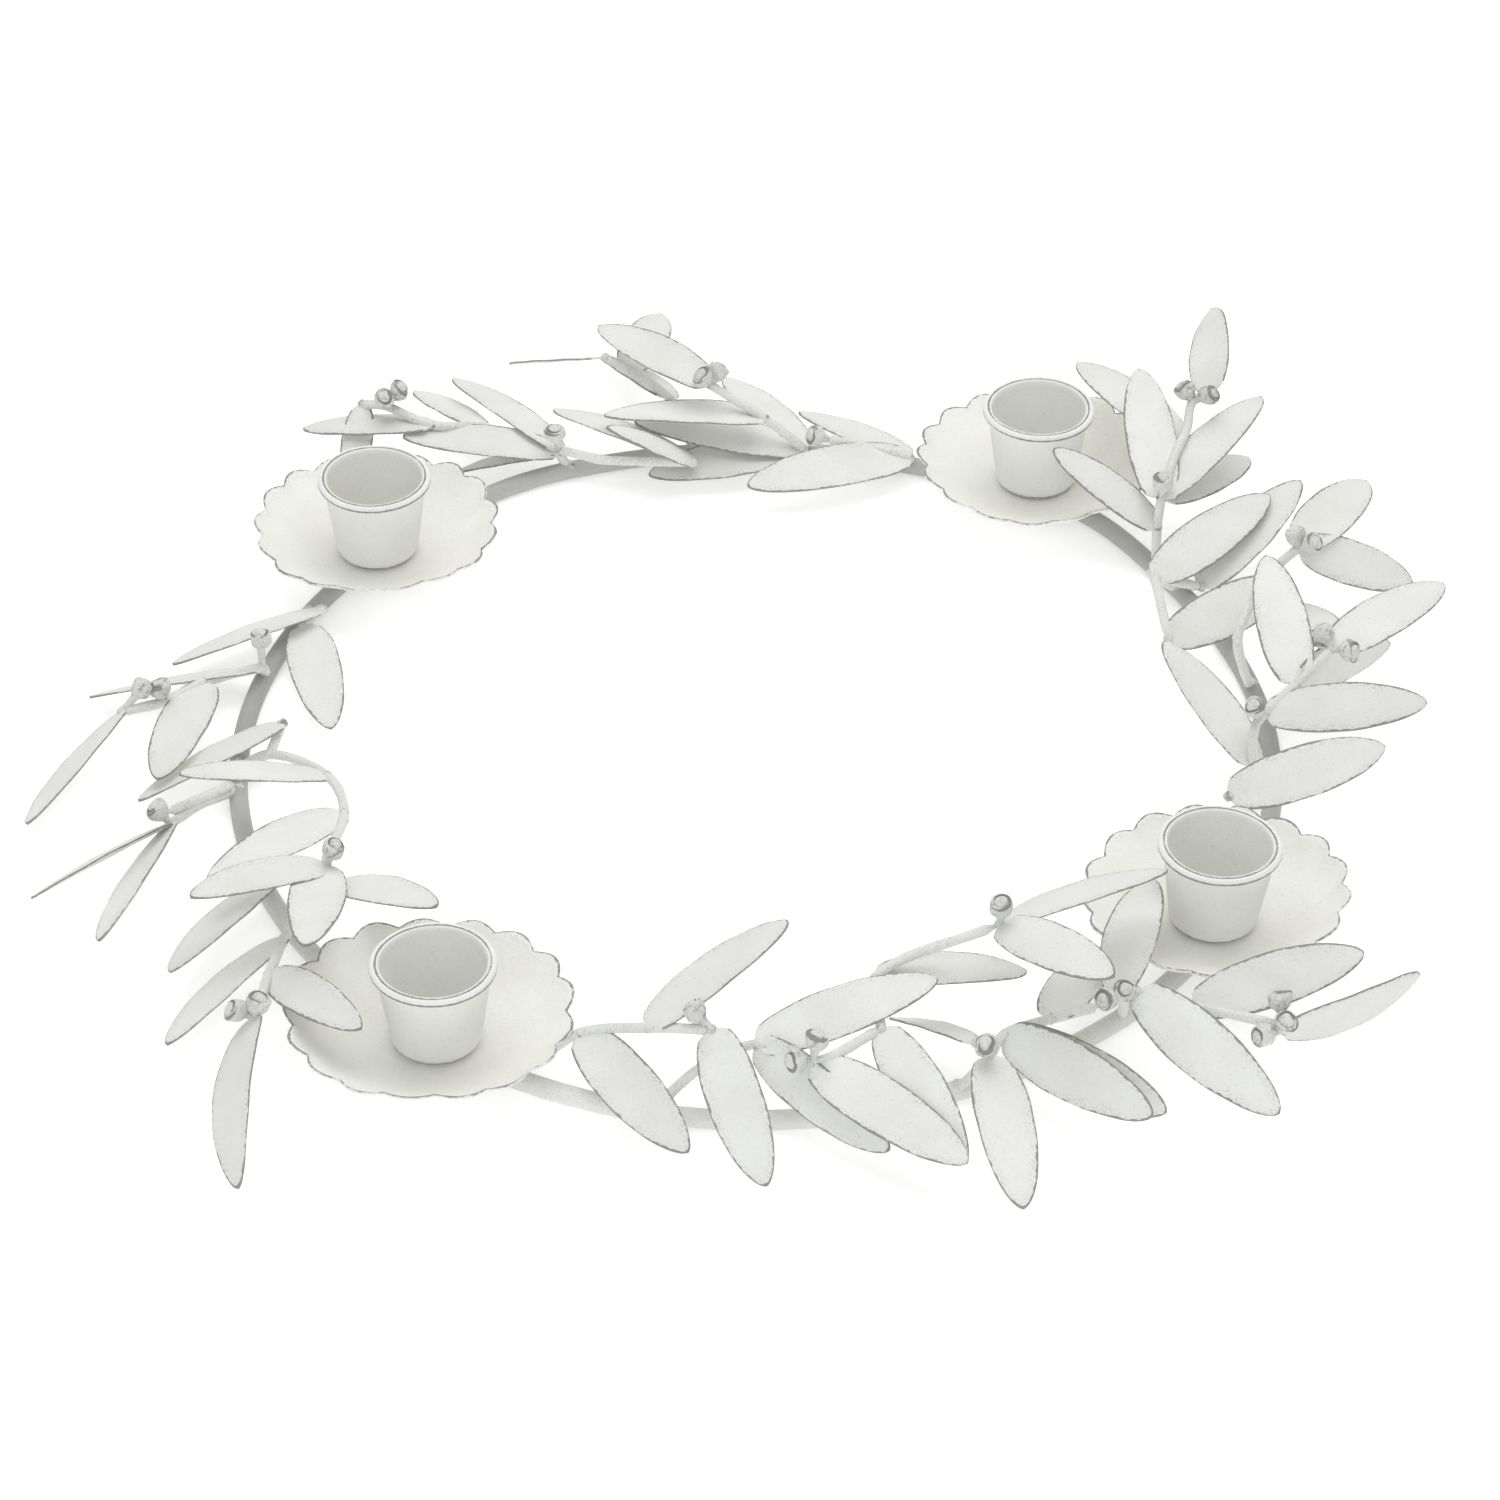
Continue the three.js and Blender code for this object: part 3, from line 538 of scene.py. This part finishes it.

# %% [markdown]
# The sprigs are the same measured table as in the solid model. Joints are points
# that twigs run through. A leaf grows from a joint with a heading (degrees from +X
# towards +Y), a rise above level, a roll that lifts its right-hand edge, a length, and
# sometimes a bow of its own. A berry is given by its joint and its middle.

# %% The sprigs' table
SPRIGS = {
    "left_1": dict(
        joints=[(-124, 63, 3), (-126, 53, 7), (-121, 58, 9)],
        twigs=[(0, 2, 1)],
        leaves=[(2, -151, -3, -22, 46), (1, -77, -2, -5, 46)],
        berries=[],
    ),
    "left_2": dict(
        joints=[(-136, 35, 3), (-136, 32, 8), (-151, 23, 10), (-161, 13, 11), (-172, 7, 12)],
        twigs=[(0, 1, 2, 3, 4)],
        leaves=[(1, -168, -3, -28, 48), (2, -101, 2, 0, 46), (4, -119, -9, -37, 46, 0.3)],
        berries=[(1, -136, 33, 17), (4, -167, 12, 16), (3, -162, 13, 15)],
    ),
    "left_3": dict(
        joints=[
            (-141, -6, 3), (-128, 2, 12), (-114, -25, 15), (-108, -46, 19), (-111, -70, 21),
            (-131, -8, 9), (-109, -70, 15),
        ],
        twigs=[(0, 5, 2, 3, 4, 6), (5, 1)],
        leaves=[
            (1, -144, -7, -20, 46), (2, -158, 17, -10, 42), (3, -136, 3, 0, 46),
            (4, -136, 18, 0, 46), (4, -93, 13, 12, 46), (6, -48, 23, 2, 46),
        ],
        berries=[(4, -109, -70, 26)],
    ),
    "left_4": dict(
        joints=[(-140, -16, 3), (-147, -29, 9), (-154, -44, 14), (-141, -19, 7), (-155, -42, 16)],
        twigs=[(0, 1, 2), (3, 4)],
        leaves=[(2, -136, 1, -40, 46, 0.2), (2, -109, -5, -41, 46)],
        berries=[(2, -157, -44, 18)],
    ),
    "left_5": dict(
        joints=[(-130, -55, 3), (-127, -61, 8)],
        twigs=[(0, 1)],
        leaves=[(1, -119, 4, -22, 46)],
        berries=[],
    ),
    "left_6": dict(
        joints=[(-121, -74, 3), (-121, -87, 11), (-123, -110, 18), (-125, -130, 21)],
        twigs=[(0, 1, 2, 3)],
        leaves=[(1, -127, -6, -27, 46), (2, -48, 9, -22, 38), (3, -92, -20, -45, 48, 4)],
        berries=[(3, -129, -131, 24), (3, -124, -130, 25)],
    ),
    "front_1": dict(
        joints=[(-63, -131, 3), (-55, -130, 7), (-44, -128, 14), (-27, -133, 20), (-11, -136, 22)],
        twigs=[(0, 1, 2, 3, 4)],
        leaves=[(2, -53, -9, -30, 46), (3, 38, 15, 8, 46), (4, -72, -18, -25, 46)],
        berries=[(4, -15, -134, 26)],
    ),
    "front_2": dict(
        joints=[
            (-26, -144, 3), (-13, -138, 12), (0, -138, 19), (6, -140, 19), (14, -146, 20),
            (31, -138, 24), (30, -123, 28), (61, -112, 36),
        ],
        twigs=[(0, 1, 2, 3, 4, 5), (5, 6, 7)],
        leaves=[
            (2, 14, 14, -15, 48), (2, -40, -14, -55, 44), (4, -38, -8, -20, 48), (5, -60, -18, -25, 42),
            (6, 22, -15, 0, 43), (7, -51, 14, -20, 43), (7, 21, 5, 20, 46),
        ],
        berries=[(4, 15, -145, 26), (4, 10, -148, 22), (7, 61, -113, 42)],
    ),
    "front_3": dict(
        joints=[
            (50, -136, 3), (55, -139, 11), (58, -138, 15), (62, -131, 16), (74, -125, 16),
            (86, -119, 15), (55, -133, 15),
        ],
        twigs=[(0, 1, 2, 3, 4, 5), (2, 6)],
        leaves=[
            (2, -81, -13, 0, 46), (3, -40, -1, -45, 46), (3, -31, -6, -45, 46), (4, 68, -14, 5, 46),
            (6, 137, -17, -20, 30),
        ],
        berries=[(2, 57, -140, 20)],
    ),
    "front_4": dict(
        joints=[
            (93, -109, 3), (93, -114, 12), (91, -119, 19), (96, -118, 19), (110, -119, 15),
            (127, -126, 16), (132, -129, 16),
        ],
        twigs=[(0, 1, 2), (2, 3, 4, 5, 6)],
        leaves=[
            (2, 76, 1, 12, 46, 3), (3, -46, -12, -35, 49), (4, 16, 9, -30, 46),
            (6, 36, -6, 80, 46, -3),
        ],
        berries=[
            (2, 88, -123, 21), (2, 92, -121, 22), (6, 131, -124, 21), (6, 127, -132, 17),
            (6, 132, -131, 20),
        ],
    ),
    "right_1": dict(
        joints=[(139, -16, 3), (130, -27, 10), (125, -35, 16)],
        twigs=[(0, 1, 2)],
        leaves=[(2, 21, 5, -40, 46)],
        berries=[],
    ),
    "right_2": dict(
        joints=[(140, -7, 3), (134, -14, 10), (134, -8, 18), (137, -4, 20), (146, 4, 24), (156, 14, 28)],
        twigs=[(0, 1, 2, 3, 4, 5)],
        leaves=[
            (1, 121, 17, -7, 46), (3, 5, 1, -35, 44), (4, 97, 13, 15, 46),
            (5, 43, -1, -10, 46), (4, 46, -12, 105, 42), (5, 97, -19, 0, 43),
        ],
        berries=[(3, 134, -7, 24), (5, 154, 17, 31), (5, 160, 11, 30)],
    ),
    "right_3": dict(
        joints=[(137, 30, 3), (134, 26, 12), (132, 28, 22), (143, 48, 30), (150, 53, 34)],
        twigs=[(0, 1, 2, 3, 4)],
        leaves=[(4, 61, -8, -10, 48), (4, 20, -30, -50, 42)],
        berries=[(4, 153, 50, 37), (4, 149, 54, 37)],
    ),
    "right_4": dict(
        joints=[(120, 75, 3), (112, 76, 8), (112, 68, 13), (114, 38, 14), (126, 73, 6)],
        twigs=[(0, 1, 2, 3), (2, 4)],
        leaves=[(3, 38, -1, -50, 46), (2, 41, 9, -25, 46), (4, 47, 18, -5, 46)],
        berries=[],
    ),
    "right_5": dict(
        joints=[
            (113, 86, 3), (114, 88, 16), (115, 91, 24), (120, 105, 31), (123, 112, 33),
            (125, 119, 38), (131, 124, 38), (122, 118, 26),
        ],
        twigs=[(0, 1, 2, 3, 4, 5, 6), (3, 7)],
        leaves=[
            (1, 152, 26, 15, 37), (2, 96, 19, 10, 46), (2, 47, 16, 5, 46), (2, 49, -11, -15, 43),
            (7, 127, 2, 0, 46), (6, 86, -1, 37, 45),
        ],
        berries=[(2, 115, 91, 29), (5, 123, 120, 41), (5, 129, 118, 41)],
    ),
    "back_1": dict(
        joints=[(44, 139, 3), (45, 135, 8), (33, 137, 10), (21, 138, 12)],
        twigs=[(0, 1, 2, 3)],
        leaves=[(1, 138, -5, -10, 43), (1, -161, 1, 15, 50)],
        berries=[(3, 18, 137, 14)],
    ),
    "back_2": dict(
        joints=[(13, 145, 3), (14, 139, 8), (3, 140, 18), (-8, 143, 24), (-13, 144, 27)],
        twigs=[(0, 1, 2, 3, 4)],
        leaves=[
            (1, 120, -2, -8, 46), (1, -169, -4, 17, 46), (1, 174, 7, 5, 50),
            (2, -179, 2, -5, 47), (4, 139, 2, 10, 44),
        ],
        berries=[(4, -15, 143, 30), (4, -11, 146, 30)],
    ),
    "back_3": dict(
        joints=[(-18, 145, 3), (-21, 150, 9), (-25, 156, 14), (-37, 161, 21), (-44, 163, 24)],
        twigs=[(0, 1, 2, 3, 4)],
        leaves=[(2, 119, -13, -21, 44), (4, 142, -25, -25, 41, 0.3), (3, 78, -10, -12, 43)],
        berries=[],
    ),
    "back_4": dict(
        joints=[
            (-54, 135, 3), (-57, 136, 9), (-45, 132, 9), (-33, 131, 9), (-18, 129, 10),
            (-68, 141, 10), (-80, 143, 13), (-94, 138, 17), (-108, 145, 19), (-115, 149, 17),
        ],
        twigs=[(0, 1, 2, 3, 4), (1, 5, 6, 7, 8, 9)],
        leaves=[
            (1, -178, 8, 5, 46), (1, 135, 5, -20, 46), (1, -172, -8, -13, 30), (4, 154, 6, -18, 46),
            (4, -168, 32, 5, 30), (6, 125, -12, -15, 38), (7, 168, -10, -5, 40), (9, -96, -30, -5, 30),
        ],
        berries=[(1, -58, 135, 16), (8, -108, 142, 23), (8, -104, 145, 24)],
    ),
}
print("leaves:", sum(len(sprig["leaves"]) for sprig in SPRIGS.values()))

# %% [markdown]
# A leaf was cut from sheet and bent a little. Its tip is round and its root is blunt, so
# its outline is nearly a long ellipse that starts a little way in: half the width goes
# with 4 s (1 - s) to the power LEAF_FULLNESS, where s runs from LEAF_ROOT to 1. A flat
# mesh with a Solidify modifier would give hard square edges. Here the section is carried
# along the leaf as a closed loop, flat in the middle and rounded at both edges. Every
# leaf is dented and curled a little differently, from its own seed.

# %% Leaves
LEAF_WIDTH_SHARE = 0.315
LEAF_SHEET = 0.75
LEAF_BOW = 1.2
LEAF_ROOT = 0.05
LEAF_SKEW = 0.87
LEAF_FULLNESS = 0.56
LEAF_TONE = 0.86
ROOT_CORNER = 2.0


def leaf_sections(length, greatest_bow, chance, stations=36, around=32):
    """Sections across the leaf: y runs to the outline's half width and back, and z is
    half the sheet times the sixth-power rounding of y, plus bow, curl, twist and dents.
    The power LEAF_SKEW of the way along puts the widest place just before the middle.
    The root's corners are rounded off with a quarter circle of ROOT_CORNER."""
    wave, jag, curling, twisting, dent, dent_across = chance
    along = ((1 - np.cos(np.linspace(0, np.pi, stations))) / 2)[:, None]
    a = once_round(around)
    s = LEAF_ROOT + (1 - LEAF_ROOT) * along**LEAF_SKEW
    outline = (4 * s * (1 - s)).clip(0, 1) ** LEAF_FULLNESS
    corner = np.sqrt(1 - (1 - along * length / ROOT_CORNER).clip(0, 1) ** 2)
    ragged = 1 + 0.012 * np.sin(9 * along + wave) + 0.008 * np.sin(23 * along + jag)
    half = (length * LEAF_WIDTH_SHARE / 2 * outline * corner * ragged).clip(0.2, None)
    across = np.cos(a)
    rounded = np.sign(np.sin(a)) * np.sqrt(np.clip(1 - np.abs(across) ** 6, 0, 1))
    bow = greatest_bow * 4 * along * (1 - along)
    curl = (curling / 4 - 0.55) * across**2 * outline**2
    twist = 0.10 * math.sin(twisting) * (along - 0.3) * half * across
    dents = 0.13 * np.sin(3 * across + 11 * along + dent) * np.sin(8 * along + dent_across)
    z = LEAF_SHEET / 2 * rounded + bow + curl + twist + dents * outline
    points = np.stack([along * length * np.ones_like(a), half * across, z], axis=-1)
    from_edge = np.minimum(half * (1 - np.abs(across)), (1 - along) * length)
    rub = np.clip(1 - from_edge / EDGE_REACH, 0, 1) * (along * length / ROOT_CORNER).clip(0, 1)
    return points, rub


def turned_about(axis, degrees):
    """The matrix of a right-handed turn about X, Y or Z: the cosine twice on the diagonal,
    the sine and its negative across from it."""
    first, second = {"X": (1, 2), "Y": (2, 0), "Z": (0, 1)}[axis]
    matrix = np.eye(3)
    matrix[first, first] = matrix[second, second] = math.cos(math.radians(degrees))
    matrix[second, first] = math.sin(math.radians(degrees))
    matrix[first, second] = -matrix[second, first]
    return matrix


def turned_to(points, heading, rise, roll):
    """The roll is taken about X first, then the rise about Y, then the heading about Z."""
    turn = turned_about("Z", heading) @ turned_about("Y", -rise) @ turned_about("X", -roll)
    return points @ turn.T


def leaf_skin(joint, heading, rise, roll, length, bow=LEAF_BOW, *, seed):
    """One leaf from its joint. The seed gives its six small irregularities, and with two of
    them its tone."""
    chance = np.random.default_rng(seed).uniform(0, 2 * np.pi, 6)
    points, rub = leaf_sections(length, bow, chance)
    tone = LEAF_TONE + (1 - LEAF_TONE) * math.sin(chance[0] + chance[3])
    return skin(turned_to(points, heading, rise, roll) + np.array(joint, float), rub, tone)


# %% [markdown]
# Twigs are thin rod with a thick coat of paint. A circle is carried along the smooth
# curve through the joints. The circle needs two directions across the path at each
# step. They come from the one direction that the whole twig avoids most, which a
# singular value decomposition of its tangents gives, so the section never flips over.

# %% Twigs
TWIG_RADIUS = 1.35


def across_path(path):
    """Tangent and two directions square to it, at each point of a path."""
    tangent = np.gradient(path, axis=0)
    tangent /= np.linalg.norm(tangent, axis=1, keepdims=True)
    avoided = np.linalg.svd(tangent, full_matrices=True)[2][-1]
    first = avoided - (tangent @ avoided)[:, None] * tangent
    first /= np.linalg.norm(first, axis=1, keepdims=True)
    return tangent, first, np.cross(tangent, first)


def twig_skin(joints, seed, around=16):
    """A circle whose radius is TWIG_RADIUS, lumpy by 6%, and closes to a dome at the end."""
    path = smooth_path(joints, 9)
    tangent, first, second = across_path(path)
    way = np.concatenate([[0], np.cumsum(np.linalg.norm(np.diff(path, axis=0), axis=1))])
    lumps = 1 + 0.06 * np.sin(way / 1.7 + seed) * np.sin(way / 4.3 + 2 * seed)
    to_end = np.minimum(way[-1] - way, TWIG_RADIUS)
    dome = np.sqrt(np.clip(1 - (1 - to_end / TWIG_RADIUS) ** 2, 0.02, 1))
    a = once_round(around)[..., None]
    circle = first[:, None, :] * np.cos(a) + second[:, None, :] * np.sin(a)
    rows = path[:, None, :] + circle * (TWIG_RADIUS * lumps * dome)[:, None, None]
    rub = (0.6 + 0.15 * np.sin(way / 3.0 + seed))[:, None]
    return skin(rows, rub, tone=0.7)


# %% [markdown]
# A berry looks like a rose hip: a short stalk widens into a round body, and on top a
# small dome sits in a rim. Paint never fills the groove between the two, so a dark ring
# shows there. It is a turned profile, laid along the line from the joint to the berry's
# middle. Welds are small squashed balls, greyer and more rubbed than the leaves.

# %% Berries and weld beads
BERRY_PROFILE = [
    (1.15, -2.9), (1.5, -2.3), (2.2, -1.6), (2.8, -0.6), (3.0, 0.5), (2.95, 1.4), (2.7, 2.05),
    (2.4, 2.3), (2.15, 2.3), (1.98, 2.1), (1.8, 2.2), (1.55, 2.6), (1.05, 2.95), (0.5, 3.1),
    (0.1, 3.15),
]
SHORTEST_STALK = 3.2
GROOVE = (1.98, 2.1)
GROOVE_REACH = 1.8
CROWN = (2.7, 2.05)
CROWN_REACH = 3.0
BERRY_RUB = 0.78


def turned_along(out, way, foot, top, around=24):
    """Points out from the line foot-top and a way along it, measured from the top. out
    may differ from one direction to the next."""
    foot, top = np.array(foot, float), np.array(top, float)
    axis = (top - foot) / np.linalg.norm(top - foot)
    first = np.cross(axis, [0.3, 1.0, 0.1])
    first /= np.linalg.norm(first)
    second = np.cross(axis, first)
    a = once_round(around)[..., None]
    circle = first * np.cos(a) + second * np.sin(a)
    return top + way[:, None, None] * axis + out[:, :, None] * circle


def berry_skin(joint, middle, seed, around=24):
    """Stalk and hip in one skin. The head is oval and sits to one side, each berry in its
    own way. The rub is greatest in the groove under the dome and on the crown round it."""
    stalk = float(np.linalg.norm(np.subtract(middle, joint)))
    profile = np.array([(1.0, -max(stalk, SHORTEST_STALK)), *BERRY_PROFILE])
    curve = smooth_path(np.column_stack([profile, np.zeros(len(profile))]), 4)[:, :2]
    out, way = curve[:, :1], curve[:, 1:]
    a = once_round(around)
    head = np.clip((way + 0.5) / 2.5, 0, 1)
    lumpy = 0.07 * np.sin(3 * a + 2 * seed) * np.sin(1.3 * way + seed)
    oval = 1 + head * 0.09 * np.cos(2 * a + seed)
    to_one_side = head * 0.16 * np.cos(a - 2.4 * seed)
    uneven = out * (oval + lumpy + to_one_side)
    ring_out = GROOVE[0] + 0.3 * np.cos(a - 0.9 * seed) + 0.15 * np.sin(3 * a + seed)
    groove = np.clip(1.1 - np.hypot(out - ring_out, way - GROOVE[1]) / GROOVE_REACH, 0, 1)
    groove = groove * (0.95 + 0.15 * np.cos(a - 1.7 * seed))
    crown = np.clip(1.0 - np.hypot(out - CROWN[0], way - CROWN[1]) / CROWN_REACH, 0, 1)
    crown = crown * (0.82 + 0.22 * np.cos(a + 2.9 * seed))
    rub = np.maximum(np.maximum(groove, crown), BERRY_RUB)
    tone = 0.35 + 0.15 * math.sin(seed)
    return skin(turned_along(uneven, curve[:, 1], joint, middle), rub, tone)


def weld_skin(place, radius, seed, rings=9, around=14):
    """A ball, squashed by a tenth and lumpy, round a joint."""
    t = np.linspace(0.06, np.pi - 0.06, rings)[:, None]
    a = once_round(around)
    r = radius * (1 + 0.09 * np.sin(3 * a + seed) * np.sin(2 * t + seed))
    x, y = r * np.sin(t) * np.cos(a), r * np.sin(t) * np.sin(a)
    ball = np.stack([x, y, -0.9 * r * np.cos(t)], axis=-1)
    return skin(ball + np.array(place, float), rub=0.8, tone=0.35)


# %% [markdown]
# Each sprig becomes one object, as it is one welded thing. The rub of twigs and welds
# is moderate everywhere, and that of leaves is kept to their edges. A large bead joins
# the foot to the ring, and a smaller one sits wherever a leaf grows.

# %% Sprigs
FOOT_WELD = 2.0
FOOT_WELD_LIFT = 0.9
LEAF_WELD = 1.5


def sprig_skins(sprig, seed):
    """All twigs, leaves, berries and welds of one sprig."""
    joints = [foot_on_ring(*sprig["joints"][0]), *sprig["joints"][1:]]
    skins = []
    for k, twig in enumerate(sprig["twigs"]):
        skins.append(twig_skin([joints[j] for j in twig], seed + 3 * k))
    for k, (joint, *shape) in enumerate(sprig["leaves"]):
        skins.append(leaf_skin(joints[joint], *shape, seed=100 * seed + k))
    for k, (joint, *middle) in enumerate(sprig["berries"]):
        skins.append(berry_skin(joints[joint], middle, seed + k))
    skins.append(weld_skin(np.add(joints[0], (0, 0, FOOT_WELD_LIFT)), FOOT_WELD, seed))
    leaf_joints = sorted({leaf[0] for leaf in sprig["leaves"]})
    skins += [weld_skin(joints[j], LEAF_WELD, seed + j) for j in leaf_joints]
    return skins


for number, (name, sprig) in enumerate(SPRIGS.items()):
    add_piece(f"leaf_sprig_{name}", sprig_skins(sprig, number + 1), sprig_paint, f"sprig_{name}")

# %% [markdown]
# The photograph has a pure white ground and hardly any shadow. A pale floor that glows a
# little under an even sky comes close. One large lamp above and a little behind the
# wreath gives the leaves and cups their soft modelling, and a weak, bluish one in front
# lifts the cups' walls. The Standard view transform keeps white paint white.

# %% Floor, sky and lamps
FLOOR_GLOW = 0.30
SKY_STRENGTH = 0.55


def pale_floor(size=6.0):
    """A square of size by size metres under the ring."""
    mesh = bpy.data.meshes.new("pale_floor")
    h = size / 2
    corners = [(-h, -h, 0.0), (h, -h, 0.0), (h, h, 0.0), (-h, h, 0.0)]
    mesh.from_pydata(corners, [], [(0, 1, 2, 3)])
    material = bpy.data.materials.new("pale_floor")
    material.use_nodes = True
    shader = material.node_tree.nodes["Principled BSDF"]
    shader.inputs["Base Color"].default_value = (0.97, 0.97, 0.97, 1.0)
    shader.inputs["Roughness"].default_value = 0.9
    shader.inputs["Specular IOR Level"].default_value = 0.1
    shader.inputs["Emission Color"].default_value = (1.0, 1.0, 1.0, 1.0)
    shader.inputs["Emission Strength"].default_value = FLOOR_GLOW
    mesh.materials.append(material)
    floor = bpy.data.objects.new("pale_floor", mesh)
    bpy.context.collection.objects.link(floor)
    floor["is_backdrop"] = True


def soft_lamp(name, watts, size, place, colour=(1.0, 1.0, 1.0)):
    """A square area lamp that looks from its place at the origin, in metres."""
    lamp_data = bpy.data.lights.new(name, "AREA")
    lamp_data.energy = watts
    lamp_data.size = size
    lamp_data.color = colour
    lamp = bpy.data.objects.new(name, lamp_data)
    lamp.location = place
    lamp.rotation_euler = Vector(place).to_track_quat("Z", "Y").to_euler()
    bpy.context.collection.objects.link(lamp)


pale_floor()
soft_lamp("softbox", watts=15.0, size=1.7, place=(0.10, 0.42, 1.45))
soft_lamp("front_fill", watts=6.0, size=1.4, place=(-0.3, -1.6, 0.7), colour=(0.90, 0.95, 1.0))
sky = bpy.data.worlds.new("white_sky")
sky.use_nodes = True
background = sky.node_tree.nodes["Background"]
background.inputs["Color"].default_value = (1.0, 1.0, 1.0, 1.0)
background.inputs["Strength"].default_value = SKY_STRENGTH
bpy.context.scene.world = sky
bpy.context.scene.view_settings.view_transform = "Standard"
print("view transform:", bpy.context.scene.view_settings.view_transform)

# %% [markdown]
# At the end the sizes of the finished object and of the solid model are printed, one
# after the other.

# %% Sizes and finish
finished_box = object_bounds()
boxes = {"cad": [list(corner) for corner in cad_box], "visual": [list(corner) for corner in finished_box]}
for label, (low, high) in boxes.items():
    print(label, "box in mm:", [round(1000 * (b - a), 1) for a, b in zip(low, high)])
